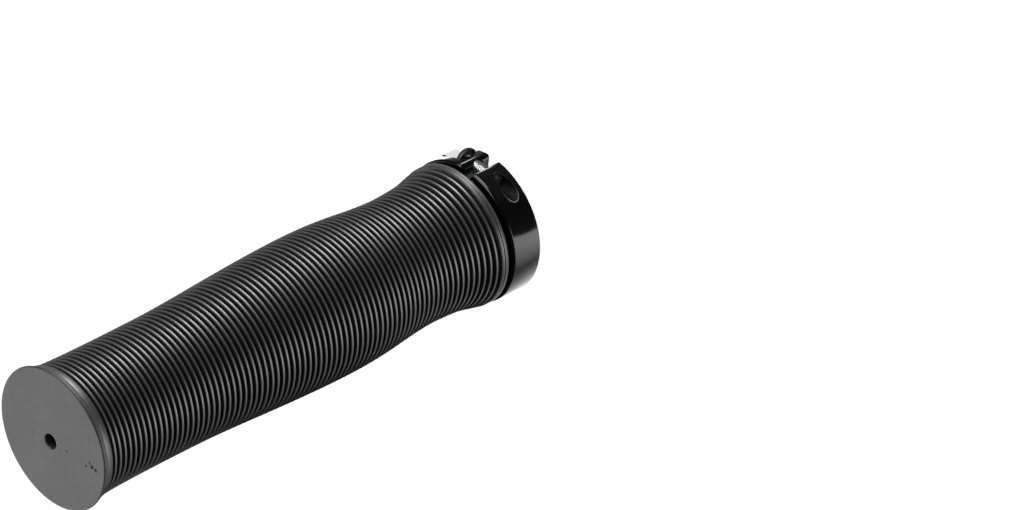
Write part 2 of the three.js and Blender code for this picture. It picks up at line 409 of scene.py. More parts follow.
@dataclass(frozen=True)
class AnodisedAluminium:
    """Black anodised aluminium, turned and polished first: dark, glossy, with faint turning lines."""

    name: str = "polished_black_anodised_aluminium"
    dye: str = "#363636"
    dye_thin: str = "#3c3c3d"
    roughness: tuple[float, float] = (0.1, 0.17)
    # Feed of the lathe tool, drawn a little coarser than the real 0.1 mm so that it shows
    feed_mm: float = 0.3
    handling_mm: float = 5.0
    # Walls of the tapped hole, painted darker as painted shade, and its far lip, painted bright as a painted
    # glint; the glint's width in mm
    hole: str = "#2a2a2b"
    lip_glint: str = "#e4e4e4"
    glint_width: float = 0.11
    matt_roughness: float = 0.55
    # Distances along the bolt from the slot's middle between which the lip's painted glint fades in
    glint_from: float = 7.6
    glint_to: float = 10.4

    def material(self, slot: "SlotFrame", hole_radius: float) -> bpy.types.Material:
        """Builds the anodised metal.

        Args:
            slot: Where the bolt's hole runs.
            hole_radius: Radius of that hole.

        Returns:
            The material.
        """
        material = bpy.data.materials.new(self.name)
        material.use_nodes = True
        tree = material.node_tree
        shader = tree.nodes["Principled BSDF"]
        place = add_node(tree, "ShaderNodeTexCoord").outputs["Object"]
        handled = add_node(tree, "ShaderNodeTexNoise", {
            "Vector": place, "Scale": 1 / (self.handling_mm * MM), "Detail": 5.0, "Roughness": 0.6,
        }).outputs["Fac"]
        tone = add_node(tree, "ShaderNodeMix", {
            "Factor": handled, "A": srgb(self.dye), "B": srgb(self.dye_thin),
        }, data_type="RGBA")
        gloss = add_node(tree, "ShaderNodeMapRange", {
            "Value": handled, "From Min": 0.35, "From Max": 0.7, "To Min": self.roughness[0],
            "To Max": self.roughness[1],
        })
        lathe = add_node(tree, "ShaderNodeMapping", {"Vector": place, "Scale": (0.02, 0.02, 1.0)})
        turning = add_node(tree, "ShaderNodeTexNoise", {
            "Vector": lathe.outputs["Vector"], "Scale": 1 / (self.feed_mm * MM), "Detail": 1.0,
        }).outputs["Fac"]
        bump = add_node(tree, "ShaderNodeBump", {"Height": turning, "Strength": 0.08, "Distance": 0.01 * MM})
        start = slot.bolt_place @ Vector((0, 0, 0))
        axis = (slot.bolt_place @ Vector((0, 0, 1)) - start).normalized()
        from_start = add_node(tree, "ShaderNodeVectorMath", {0: place, 1: start * MM}, operation="SUBTRACT")
        arm = add_node(tree, "ShaderNodeVectorMath", {
            0: from_start.outputs["Vector"], 1: axis,
        }, operation="CROSS_PRODUCT").outputs["Vector"]
        off_axis = add_node(tree, "ShaderNodeVectorMath", {0: arm}, operation="LENGTH").outputs["Value"]
        along = add_node(tree, "ShaderNodeVectorMath", {
            0: from_start.outputs["Vector"], 1: axis,
        }, operation="DOT_PRODUCT").outputs["Value"]
        # Inside the tapped hole: painted darker, as painted shade, and rougher
        inside = add_node(tree, "ShaderNodeMapRange", {
            "Value": off_axis, "From Min": (hole_radius + 0.02) * MM, "From Max": (hole_radius + 0.01) * MM,
        }).outputs["Result"]
        # The painted glint: a thin bright band on the hole's rim, only at its far end, where it catches the light
        near = add_node(tree, "ShaderNodeMapRange", {
            "Value": off_axis, "From Min": (hole_radius + self.glint_width) * MM,
            "From Max": (hole_radius + self.glint_width - 0.03) * MM,
        }).outputs["Result"]
        far = add_node(tree, "ShaderNodeMapRange", {
            "Value": along, "From Min": self.glint_from * MM, "From Max": self.glint_to * MM,
        }).outputs["Result"]
        lip_glint = add_node(tree, "ShaderNodeMath", {0: near, 1: far}, operation="MULTIPLY").outputs["Value"]
        glinted = add_node(tree, "ShaderNodeMix", {
            "Factor": lip_glint, "A": tone.outputs["Result"], "B": srgb(self.lip_glint),
        }, data_type="RGBA").outputs["Result"]
        holed = add_node(tree, "ShaderNodeMix", {
            "Factor": inside, "A": glinted, "B": srgb(self.hole),
        }, data_type="RGBA").outputs["Result"]
        matt = add_node(tree, "ShaderNodeMath", {0: lip_glint, 1: inside}, operation="MAXIMUM").outputs["Value"]
        dull = add_node(tree, "ShaderNodeMapRange", {
            "Value": matt, "To Min": gloss.outputs["Result"], "To Max": self.matt_roughness,
        }).outputs["Result"]
        tree.links.new(holed, shader.inputs["Base Color"])
        tree.links.new(dull, shader.inputs["Roughness"])
        tree.links.new(bump.outputs["Normal"], shader.inputs["Normal"])
        shader.inputs["Metallic"].default_value = 1.0
        return material


@dataclass(frozen=True)
class ZincPlatedSteel:
    """Rolled and zinc plated steel, passivated: bright, with pale teal and violet tints in patches."""

    name: str = "passivated_zinc_plated_steel"
    zinc: str = "#f4f6f7"
    teal: str = "#c6dcdd"
    violet: str = "#d5cbda"
    # The head in its pocket and the thread deeper in the tapped ear are painted dark, as painted shade, in teal
    # and violet tints; the shank across the slot keeps the bright zinc
    shade_teal: str = "#3f5558"
    shade_violet: str = "#4a4050"
    roughness: tuple[float, float] = (0.2, 0.34)
    head_roughness: float = 0.45
    tint_mm: float = 1.6

    def material(self) -> bpy.types.Material:
        """Builds the plated steel.

        Returns:
            The material.
        """
        material = bpy.data.materials.new(self.name)
        material.use_nodes = True
        tree = material.node_tree
        shader = tree.nodes["Principled BSDF"]
        place = add_node(tree, "ShaderNodeTexCoord").outputs["Object"]
        film = add_node(tree, "ShaderNodeTexNoise", {
            "Vector": place, "Scale": 1 / (self.tint_mm * MM), "Detail": 3.0, "Roughness": 0.5,
        }).outputs["Fac"]
        ramp = add_node(tree, "ShaderNodeValToRGB", {"Fac": film})
        stops = ramp.color_ramp.elements
        stops[0].position, stops[0].color = 0.32, srgb(self.teal)
        stops[1].position, stops[1].color = 0.68, srgb(self.violet)
        middle = stops.new(0.5)
        middle.color = srgb(self.zinc)
        # Head and the thread deeper in the tapped ear: painted dark teal and violet, as painted shade
        head = add_node(tree, "ShaderNodeAttribute", attribute_name=SHADED_BOLT_LAYER).outputs["Fac"]
        dark = add_node(tree, "ShaderNodeMix", {
            "Factor": film, "A": srgb(self.shade_teal), "B": srgb(self.shade_violet),
        }, data_type="RGBA")
        plated = add_node(tree, "ShaderNodeMix", {
            "Factor": head, "A": ramp.outputs["Color"], "B": dark.outputs["Result"],
        }, data_type="RGBA")
        gloss = add_node(tree, "ShaderNodeMapRange", {
            "Value": film, "From Min": 0.3, "From Max": 0.7, "To Min": self.roughness[0],
            "To Max": self.roughness[1],
        })
        dull = add_node(tree, "ShaderNodeMapRange", {
            "Value": head, "To Min": gloss.outputs["Result"], "To Max": self.head_roughness,
        })
        tree.links.new(plated.outputs["Result"], shader.inputs["Base Color"])
        tree.links.new(dull.outputs["Result"], shader.inputs["Roughness"])
        shader.inputs["Metallic"].default_value = 1.0
        return material


@dataclass(frozen=True)
class MouldedNylon:
    """Glass filled black nylon, injection moulded: satin, with pale glass near the surface."""

    name: str = "moulded_glass_filled_nylon"
    base: str = "#19191b"
    glass: str = "#262627"
    roughness: tuple[float, float] = (0.38, 0.55)
    fibre_mm: float = 0.8

    def material(self) -> bpy.types.Material:
        """Builds the nylon.

        Returns:
            The material.
        """
        material = bpy.data.materials.new(self.name)
        material.use_nodes = True
        tree = material.node_tree
        shader = tree.nodes["Principled BSDF"]
        place = add_node(tree, "ShaderNodeTexCoord").outputs["Object"]
        flow = add_node(tree, "ShaderNodeMapping", {"Vector": place, "Scale": (1.0, 1.0, 0.25)})
        fibre = add_node(tree, "ShaderNodeTexNoise", {
            "Vector": flow.outputs["Vector"], "Scale": 1 / (self.fibre_mm * MM), "Detail": 4.0,
        }).outputs["Fac"]
        tone = add_node(tree, "ShaderNodeMix", {
            "Factor": fibre, "A": srgb(self.base), "B": srgb(self.glass),
        }, data_type="RGBA")
        satin = add_node(tree, "ShaderNodeMapRange", {
            "Value": fibre, "From Min": 0.3, "From Max": 0.7, "To Min": self.roughness[0],
            "To Max": self.roughness[1],
        })
        bump = add_node(tree, "ShaderNodeBump", {"Height": fibre, "Strength": 0.2, "Distance": 0.03 * MM})
        tree.links.new(tone.outputs["Result"], shader.inputs["Base Color"])
        tree.links.new(satin.outputs["Result"], shader.inputs["Roughness"])
        tree.links.new(bump.outputs["Normal"], shader.inputs["Normal"])
        shader.inputs["IOR"].default_value = 1.53
        return material


@dataclass
class Bore:
    """The sizes that the pieces share, in millimetres."""

    length: float = 130.0
    radius: float = 11.2
    gap: float = 0.3
    core_radius: float = 12.6
    spigot_radius: float = 12.2
    collar_length: float = 8.3
    shoulder_length: float = 0.75

    @property
    def shoulder_foot(self) -> float:
        """Height of the core's shoulder over the floor."""
        return self.collar_length + self.gap

    @property
    def shoulder_top(self) -> float:
        """Height of the shoulder's upper side."""
        return self.shoulder_foot + self.shoulder_length

    @property
    def sleeve_foot(self) -> float:
        """Height of the sleeve's open end."""
        return self.shoulder_top + self.gap


@dataclass
class RibbedSleeve:
    """The rubber sleeve: a land at each end, ribs between, and a flat closed end with a vent hole."""

    bore: Bore
    finish: MouldedRubber
    steps: int = 112
    rib_pitch: float = 1.523
    rib_depth: float = 1.45
    crest_width: float = 0.66
    foot_width: float = 0.78
    crest_round: float = 0.14
    edge_groove: float = 0.75
    # Height of the crests over the core, against the share of the ribbed length from the closed end
    crest_knots: tuple[tuple[float, float], ...] = (
        (0, 3.24), (0.027, 2.99), (0.064, 2.85), (0.138, 2.74), (0.212, 2.74), (0.286, 2.83), (0.36, 3.16),
        (0.434, 3.6), (0.507, 3.99), (0.581, 4.27), (0.637, 4.35), (0.692, 4.21), (0.747, 3.76),
        (0.803, 3.08), (0.859, 2.62), (0.905, 2.68), (0.951, 3.08), (0.973, 3.6), (1, 4.25),
    )
    end_wall: float = 2.4
    vent_radius: float = 1.8
    vent_at: tuple[float, float] = (-0.25, 1.2)
    vent_edge: float = 0.2
    # Radius of the plain middle of the end wall, which is bridged to the vent
    middle_radius: float = 6.0
    rim_height: float = 4.4
    rim_round: float = 0.35
    # The rim tapers inwards from its widest place to its foot, and steps down to the land there
    rim_taper: float = 0.45
    rim_length: float = 1.35
    step_length: float = 0.1
    end_land_height: float = 3.46
    end_land_length: float = 1.8
    collar_land_height: float = 4.34
    collar_land_length: float = 2.1
    land_edge: float = 0.15
    line_width: float = 0.3
    line_depth: float = 0.2

    def crest_radius(self, share: float) -> float:
        """Gives the radius of the crests, a cubic through the knots.

        Args:
            share: Place along the ribbed length, from the closed end.

        Returns:
            The radius in millimetres.
        """
        knots = self.crest_knots
        last = len(knots) - 1
        i = max(k for k in range(last) if k == 0 or share > knots[k][0])

        def slope(k: int) -> float:
            """Slope at a knot, from its neighbours."""
            (x0, y0), (x1, y1) = knots[max(k - 1, 0)], knots[min(k + 1, last)]
            return (y1 - y0) / (x1 - x0)

        (xa, ya), (xb, yb) = knots[i], knots[i + 1]
        width = xb - xa
        t = (share - xa) / width
        bend = t * (1 - t) * (1 - t) * slope(i) - t * t * (1 - t) * slope(i + 1)
        return self.bore.core_radius + ya + (yb - ya) * t * t * (3 - 2 * t) + width * bend

    def rib_profile(self, foot: float, top: float) -> tuple[Profile, set[int]]:
        """Lists the corners of all ribs.

        Args:
            foot: Height of the collar land's top.
            top: Height of the end land's foot.

        Returns:
            The corners, and the places in that list that are crest corners.
        """
        length = top - foot
        edges = 2 * self.edge_groove - 1
        count = round(length / self.rib_pitch - edges)
        pitch = length / (count + edges)
        corners: Profile = []
        crests: set[int] = set()
        for k in range(count):
            middle = foot + (self.edge_groove + k) * pitch
            radius = self.crest_radius(1 - (middle - foot) / length)
            valley = radius - self.rib_depth
            crests |= {len(corners) + 1, len(corners) + 2}
            corners += [
                (valley, middle - self.foot_width / 2), (radius, middle - self.crest_width / 2),
                (radius, middle + self.crest_width / 2), (valley, middle + self.foot_width / 2),
            ]
        return corners, crests

    def profile(self) -> tuple[Profile, set[int], set[int]]:
        """Lists the whole profile, from the inside of the end wall round the outside to its face.

        Returns:
            The corners, the places of crest corners, and the places of the rim's corners.
        """
        bore = self.bore
        inner = bore.core_radius + bore.gap
        wall_foot = bore.length - self.end_wall
        foot = bore.sleeve_foot
        land = bore.core_radius + self.collar_land_height
        land_top = foot + self.collar_land_length
        line = foot + self.collar_land_length / 2
        start: Profile = [
            (self.middle_radius, wall_foot), (inner, wall_foot), (inner, foot),
            (land - self.land_edge, foot), (land, foot + self.land_edge),
            (land, line - self.line_width / 2), (land - self.line_depth, line),
            (land, line + self.line_width / 2),
            (land, land_top - self.land_edge), (land - self.land_edge, land_top),
            (self.crest_radius(1) - self.rib_depth, land_top),
        ]
        end_land = bore.core_radius + self.end_land_height
        end_land_top = bore.length - self.rim_length - self.step_length
        end_land_foot = end_land_top - self.end_land_length
        rim = bore.core_radius + self.rim_height
        ribs, crests = self.rib_profile(land_top, end_land_foot)
        end: Profile = [
            (self.crest_radius(0) - self.rib_depth, end_land_foot),
            (end_land - self.land_edge, end_land_foot), (end_land, end_land_foot + self.land_edge),
            (end_land, end_land_top), (rim - self.rim_taper, bore.length - self.rim_length),
            (rim, bore.length - self.rim_round), (rim, bore.length),
            (rim - 2 * self.rim_round, bore.length), (self.middle_radius, bore.length),
        ]
        corners = start + ribs + end
        return corners, {len(start) + k for k in crests}, {len(corners) - 3}

    def bridge_vent(self, bm: bmesh.types.BMesh) -> None:
        """Closes the end wall round the vent hole.

        Args:
            bm: The turned sleeve, open over the middle of the wall's two sides.
        """
        outside, inside = self.bore.length, self.bore.length - self.end_wall
        rings = [
            (self.vent_radius + 2 * self.vent_edge, outside), (self.vent_radius + self.vent_edge, outside),
            (self.vent_radius + 0.3 * self.vent_edge, outside - 0.3 * self.vent_edge),
            (self.vent_radius, outside - self.vent_edge),
            (self.vent_radius, inside),
        ]
        loops = [self.open_loop(bm, outside)]
        for radius, height in rings:
            place = Matrix.Translation((*self.vent_at, height))
            circle = bmesh.ops.create_circle(bm, segments=self.steps, radius=radius, matrix=place)["verts"]
            loops.append(list(dict.fromkeys(e for v in circle for e in v.link_edges)))
        loops.append(self.open_loop(bm, inside))
        for lower, upper in zip(loops[:-1], loops[1:]):
            bmesh.ops.bridge_loops(bm, edges=[*lower, *upper])

    def open_loop(self, bm: bmesh.types.BMesh, height: float) -> list[bmesh.types.BMEdge]:
        """Finds the open ring of the end wall at a height.

        Args:
            bm: The turned sleeve.
            height: Height of that side of the wall.

        Returns:
            The ring's edges.
        """
        return [
            edge for edge in bm.edges
            if edge.is_boundary and all(abs(v.co.z - height) < 1e-3 for v in edge.verts)
        ]

    def mark_height(self, bm: bmesh.types.BMesh) -> None:
        """Stores how far each point lies over the grooves' floor: 0 there, 1 on crests, 2 on lands and faces.

        The rim's taper is given 0 too, so that it takes the grooves' near black as a painted shadow under the rim.

        Args:
            bm: The finished sleeve.
        """
        layer = bm.verts.layers.float.new(GROOVE_LAYER)
        foot = self.bore.sleeve_foot + self.collar_land_length
        top = self.bore.length - self.rim_length - self.step_length - self.end_land_length
        for vert in bm.verts:
            if foot + 0.01 < vert.co.z < top - 0.01:
                crest = self.crest_radius(1 - (vert.co.z - foot) / (top - foot))
                over = 1 + (math.hypot(vert.co.x, vert.co.y) - crest) / self.rib_depth
                vert[layer] = min(max(over, 0.0), 1.0)
            else:
                below = self.bore.length - vert.co.z
                # The rim's taper gets 0, the grooves' painted shade, as a painted shadow under the rim; the rest
                # gets 2, the lands' painted light
                vert[layer] = 0.0 if self.rim_round - 0.01 < below < self.rim_length + 0.01 else 2.0

    def build(self) -> bpy.types.Object:
        """Builds and dresses the sleeve.

        Returns:
            The piece.
        """
        bm = bmesh.new()
        corners, crests, rim = self.profile()
        verts = draw_wire(bm, corners)
        round_corners(bm, [verts[k] for k in crests], self.crest_round, 3)
        rim_corner = Vector((corners[min(rim)][0], 0, self.bore.length))
        rim_verts = [v for v in bm.verts if (v.co - rim_corner).length < 1e-4]
        round_corners(bm, rim_verts, self.rim_round, 4)
        revolve(bm, self.steps)
        self.bridge_vent(bm)
        tidy(bm)
        self.mark_height(bm)
        return publish(bm, Part.SLEEVE, self.finish.material(), Edge.MOULDED)


@dataclass
class InnerCore:
    """The hard tube in the sleeve, with a shoulder under the rubber and a slit spigot in the collar."""

    bore: Bore
    finish: MouldedNylon
    steps: int = 160
    spigot_recess: float = 0.6
    shoulder_height: float = 2.8
    slit_width: float = 2.4
    edge: float = 0.2
    end_wall: float = 2.4

    def build(self, slot: "SlotFrame") -> bpy.types.Object:
        """Builds and dresses the core.

        Args:
            slot: Where the collar's slot is, which the spigot's slit follows.

        Returns:
            The piece.
        """
        bore = self.bore
        top = bore.length - self.end_wall - bore.gap
        shoulder = bore.core_radius + self.shoulder_height
        tube = turned_solid([
            (bore.radius + self.edge, self.spigot_recess),
            (bore.spigot_radius - self.edge, self.spigot_recess),
            (bore.spigot_radius, self.spigot_recess + self.edge), (bore.spigot_radius, bore.shoulder_foot),
            (shoulder - self.edge, bore.shoulder_foot), (shoulder, bore.shoulder_foot + self.edge),
            (shoulder, bore.shoulder_top - self.edge), (shoulder - self.edge, bore.shoulder_top),
            (bore.core_radius, bore.shoulder_top), (bore.core_radius, top), (bore.radius, top),
            (bore.radius, self.spigot_recess + self.edge),
        ], self.steps, closed=True)
        half = self.slit_width / 2
        slit = slot.block((0, slot.reach), (-half, half), (self.spigot_recess - PAST_FACE, bore.collar_length))
        return publish(carve(tube, [slit]), Part.CORE, self.finish.material(), Edge.MACHINED)


@dataclass
class SlotFrame:
    """The collar's slot and the bolt across it, which the collar, the core and the bolt share."""

    # Angle of the slot from -Y towards +X, in degrees
    angle: float = 41.5
    width: float = 3.3
    bolt_axis: float = 15.0
    bolt_height: float = 3.5
    # Thickness of the ear under the bolt's head
    head_ear: float = 3.0
    reach: float = 20.0

    @property
    def seat(self) -> float:
        """Place of the pocket's floor along the bolt, from the slot's middle."""
        return -(self.width / 2 + self.head_ear)

    @property
    def turn(self) -> Matrix:
        """Turns a body drawn with its slot along +X to the slot's real direction."""
        return Matrix.Rotation(math.radians(self.angle - 90), 4, "Z")

    @property
    def bolt_place(self) -> Matrix:
        """Lays a body drawn about Z on the bolt's axis, its height running towards the tapped ear."""
        across = Matrix.Rotation(math.radians(90), 4, "X")
        return self.turn @ Matrix.Translation((self.bolt_axis, 0, self.bolt_height)) @ across

    def block(self, out: Span, across: Span, up: Span) -> bmesh.types.BMesh:
        """Makes a cutting block in the slot's own frame.

        Args:
            out: Nearest and farthest distance from the bar axis along the slot.
            across: Least and greatest place across the slot, towards the head ear.
            up: Lowest and highest height.

        Returns:
            The block in its place.
        """
        spans = (out, across, up)
        bm = bmesh.new()
        bmesh.ops.create_cube(bm, size=1.0)
        bmesh.ops.scale(bm, vec=[high - low for low, high in spans], verts=bm.verts)
        bmesh.ops.translate(bm, vec=[(high + low) / 2 for low, high in spans], verts=bm.verts)
        bmesh.ops.transform(bm, matrix=self.turn, verts=bm.verts)
        return bm

    def about_bolt(self, profile: Profile, steps: int) -> bmesh.types.BMesh:
        """Turns a profile about the bolt's axis.

        Args:
            profile: Radius and distance along the bolt of each corner, from axis to axis.
            steps: Steps in the turn.

        Returns:
            The solid in its place.
        """
        bm = turned_solid(profile, steps)
        bmesh.ops.transform(bm, matrix=self.bolt_place, verts=bm.verts)
        return bm


@dataclass
class ClampCollar:
    """The split collar: turned ring, sawn slot, tapped hole, and a pocket and notch for the head."""

    bore: Bore
    slot: SlotFrame
    finish: AnodisedAluminium
    steps: int = 240
    wall: float = 4.7
    chamfer: float = 0.4
    chamfer_round: float = 0.12
    slot_edge: float = 0.15
    # Half the angle left open by the turned ring before its ends are sawn parallel, in degrees
    open_half_angle: float = 4.0
    pocket_radius: float = 2.9
    pocket_steps: int = 96
    hole_radius: float = 1.8
    hole_steps: int = 72
    tap_pitch: float = 0.5
    tap_depth: float = 0.12
    # Shares of the pitch between which a thread's crest lies
    tap_crest: Span = (0.4, 0.6)
    # Round of the head ear's outer edge beside the slot
    ear_round: float = 1.3
    ear_round_steps: int = 10

    @property
    def inner_radius(self) -> float:
        """Radius of the collar's bore."""
        return self.bore.spigot_radius + self.bore.gap

    def ring(self) -> bmesh.types.BMesh:
        """Turns the ring, saws its slot and breaks the slot's edges.

        Returns:
            The ring, with its slot along +X.
        """
        inner, outer, top = self.inner_radius, self.inner_radius + self.wall, self.bore.collar_length
        cut = self.chamfer
        bm = bmesh.new()
        verts = draw_wire(bm, [
            (inner, cut / 2), (inner + cut / 2, 0), (outer - cut, 0), (outer, cut), (outer, top - cut),
            (outer - cut, top), (inner + cut / 2, top), (inner, top - cut / 2),
        ])
        bm.edges.new((verts[-1], verts[0]))
        round_corners(bm, verts, self.chamfer_round)
        start = math.radians(self.open_half_angle)
        bmesh.ops.rotate(bm, cent=(0, 0, 0), matrix=Matrix.Rotation(start, 3, "Z"), verts=bm.verts)
        bmesh.ops.spin(
            bm, geom=[*bm.verts, *bm.edges], cent=(0, 0, 0), axis=(0, 0, 1), angle=FULL_TURN - 2 * start,
            steps=self.steps,
        )
        for side in (1, -1):
            self.saw(bm, side)
        tidy(bm)
        return bm

    def saw(self, bm: bmesh.types.BMesh, side: int) -> None:
        """Cuts one end of the ring square and closes it with a broken edge.

        Args:
            bm: The open ring.
            side: 1 for the ear at +Y, -1 for the other.
        """
        near = {v for v in bm.verts if v.co.x > 0 and 0 < side * v.co.y < self.wall + self.slot.width}
        faces = [f for f in bm.faces if all(v in near for v in f.verts)]
        # Dicts keep the order of what they hold the same each run, which sets don't
        verts = dict.fromkeys(v for f in faces for v in f.verts)
        edges = dict.fromkeys(e for f in faces for e in f.edges)
        half = self.slot.width / 2
        cut = bmesh.ops.bisect_plane(
            bm, geom=[*verts, *edges, *faces], plane_co=(0, side * half, 0), plane_no=(0, side, 0),
            clear_inner=True,
        )["geom_cut"]
        loop = [e for e in cut if isinstance(e, bmesh.types.BMEdge)]
        face = bmesh.ops.contextual_create(bm, geom=loop)["faces"]
        bmesh.ops.recalc_face_normals(bm, faces=bm.faces)
        bmesh.ops.bevel(
            bm, geom=list(face[0].edges), offset=self.slot_edge, segments=2, profile=0.5, affect="EDGES",
            material=-1,
        )

    def ear_cutter(self) -> bmesh.types.BMesh:
        """Makes the body that rounds the head ear's outer edge beside the slot.

        Returns:
            The cutter in its place: all outside a round that meets the slot's wall and the rim.
        """
        outer, wall, radius = self.inner_radius + self.wall, self.slot.width / 2, self.ear_round
        across = wall + radius
        out = math.sqrt((outer - radius) ** 2 - across ** 2)
        start = math.atan2(across, out)
        steps = self.ear_round_steps
        turns = [start - (start + math.pi / 2) * k / steps for k in range(steps + 1)]
        arc = [(out + radius * math.cos(turn), across + radius * math.sin(turn)) for turn in turns]
        beyond = outer + radius
        bm = bmesh.new()
        verts = draw_wire(bm, [*arc, (out, 0), (beyond, 0), (beyond, arc[0][1])])
        bm.edges.new((verts[-1], verts[0]))
        face = bmesh.ops.contextual_create(bm, geom=bm.edges[:])["faces"]
        grown = bmesh.ops.extrude_face_region(bm, geom=face)["geom"]
        bmesh.ops.translate(
            bm, vec=(0, -2 * self.bore.collar_length, 0),
            verts=[v for v in grown if isinstance(v, bmesh.types.BMVert)],
        )
        tidy(bm)
        upright = Matrix.Rotation(math.radians(-90), 4, "X")
        place = Matrix.Translation((0, 0, -self.bore.collar_length / 2)) @ upright
        bmesh.ops.transform(bm, matrix=self.slot.turn @ place, verts=bm.verts)
        return bm

    def tapped_hole(self) -> bmesh.types.BMesh:
        """Makes the body that cuts the bolt's hole: plain through the head ear, threaded through the other.

        Returns:
            The cutter in its place.
        """
        reach = self.slot.reach
        outer = self.inner_radius + self.wall
        along = self.slot.width / 2
        end = math.sqrt(outer ** 2 - (self.slot.bolt_axis - self.hole_radius) ** 2)
        corners: Profile = [(0, -reach), (self.hole_radius, -reach), (self.hole_radius, along)]
        while along < end:
            corners += [
                *((self.hole_radius - self.tap_depth, along + share * self.tap_pitch) for share in self.tap_crest),
                (self.hole_radius, along + self.tap_pitch),
            ]
            along += self.tap_pitch
        corners += [(self.hole_radius, reach), (0, reach)]
        return self.slot.about_bolt(corners, self.hole_steps)

    def build(self) -> bpy.types.Object:
        """Builds and dresses the collar.

        Returns:
            The piece.
        """
        ring = self.ring()
        bmesh.ops.transform(ring, matrix=self.slot.turn, verts=ring.verts)
        reach, seat = self.slot.reach, self.slot.seat
        pocket = self.slot.about_bolt([
            (0, -reach), (self.pocket_radius, -reach), (self.pocket_radius, seat), (0, seat),
        ], self.pocket_steps)
        floor = self.slot.bolt_axis - self.pocket_radius
        notch = self.slot.block((floor, reach), (-seat, reach), (-PAST_FACE, self.slot.bolt_height))
        bm = carve(ring, [self.ear_cutter(), self.tapped_hole(), pocket, notch])
        finish = self.finish.material(self.slot, self.hole_radius)
        return publish(bm, Part.COLLAR, finish, Edge.MACHINED)


@dataclass
class ClampBolt:
    """The M3 button head bolt across the slot, with a rolled thread."""

    slot: SlotFrame
    finish: ZincPlatedSteel
    gap: float = 0.3
    length: float = 10.0
    thread_radius: float = 1.5
    thread_pitch: float = 0.5
    thread_depth: float = 0.25
    head_radius: float = 2.75
    head_length: float = 1.65
    # The head: a low rim, then a dome up to a small flat round the socket
    head_rim: float = 0.35
    head_flat_radius: float = 1.35
    # Broken edges under the head, the plain length above the thread, and the point below it
    edge: float = 0.1
    plain_length: float = 0.6
    point_length: float = 0.3
    dome_steps: int = 14
    socket_flats: float = 2.0
    socket_depth: float = 1.0
    steps: int = 88

    @property
    def seat(self) -> float:
        """Place of the head's underside along the bolt."""
        return self.slot.seat - self.gap

    def body_profile(self) -> Profile:
        """Lists the corners of head, shank and thread, from the head's top to the point.

        Returns:
            Radius and distance along the bolt.
        """
        top = self.seat - self.head_length
        point = self.seat + self.length
        core = self.thread_radius - self.thread_depth
        turns = [math.radians(90) * k / self.dome_steps for k in range(self.dome_steps + 1)]
        dome: Profile = [
            (
                self.head_flat_radius + (self.head_radius - self.head_flat_radius) * math.sin(turn),
                self.seat - self.head_rim - (self.head_length - self.head_rim) * math.cos(turn),
            )
            for turn in turns
        ]
        corners: Profile = [
            (0, top), *dome, (self.head_radius, self.seat - self.edge),
            (self.head_radius - self.edge, self.seat), (self.thread_radius + self.edge, self.seat),
            (self.thread_radius, self.seat + self.edge), (self.thread_radius, self.seat + self.plain_length),
        ]
        along = self.seat + self.plain_length
        while along + self.thread_pitch < point - self.point_length:
            corners += [
                (core, along + 0.4 * self.thread_pitch), (core, along + 0.5 * self.thread_pitch),
                (self.thread_radius, along + 0.9 * self.thread_pitch),
                (self.thread_radius, along + self.thread_pitch),
            ]
            along += self.thread_pitch
        return corners + [(core, point), (0, point)]

    def build(self) -> bpy.types.Object:
        """Builds and dresses the bolt.

        Returns:
            The piece.
        """
        body = turned_solid(self.body_profile(), self.steps)
        top = self.seat - self.head_length
        corner = self.socket_flats / 2 / math.cos(math.pi / 6)
        socket = turned_solid([
            (0, top - PAST_FACE), (corner + PAST_FACE, top - PAST_FACE), (corner, top + 0.08),
            (corner, top + self.socket_depth),
            (0, top + self.socket_depth + 0.3),
        ], 6)
        bm = carve(body, [socket])
        # Marks the head and the thread deeper in the tapped ear for the painted shade
        layer = bm.verts.layers.float.new(SHADED_BOLT_LAYER)
        for vert in bm.verts:
            vert[layer] = float(not self.seat + 1e-3 < vert.co.z < self.slot.width)
        bmesh.ops.transform(bm, matrix=self.slot.bolt_place, verts=bm.verts)
        return publish(bm, Part.BOLT, self.finish.material(), Edge.MACHINED)


@dataclass(frozen=True)
class Softbox:
    """A square soft light that faces the middle of the grip and leaves the floor alone."""

    name: str
    towards: tuple[float, float, float]
    power: float
    size: float
    distance: float = 1.2
    colour: str = "#ffffff"
    lit: Lit = Lit.ALL

    def build(self, target: Vector, receivers: bpy.types.Collection) -> bpy.types.Object:
        """Hangs the light.

        Args:
            target: Point that the light faces.
            receivers: Collection of what it lights.

        Returns:
            The light.
        """
        light = bpy.data.lights.new(self.name, "AREA")
        light.shape = "SQUARE"
        light.size = self.size
        light.energy = self.power
        light.color = srgb(self.colour)[:3]
        obj = bpy.data.objects.new(self.name, light)
        bpy.context.scene.collection.objects.link(obj)
        out = Vector(self.towards).normalized()
        obj.location = target + out * self.distance
        obj.rotation_euler = out.to_track_quat("Z", "Y").to_euler()
        obj.light_linking.receiver_collection = receivers
        return obj


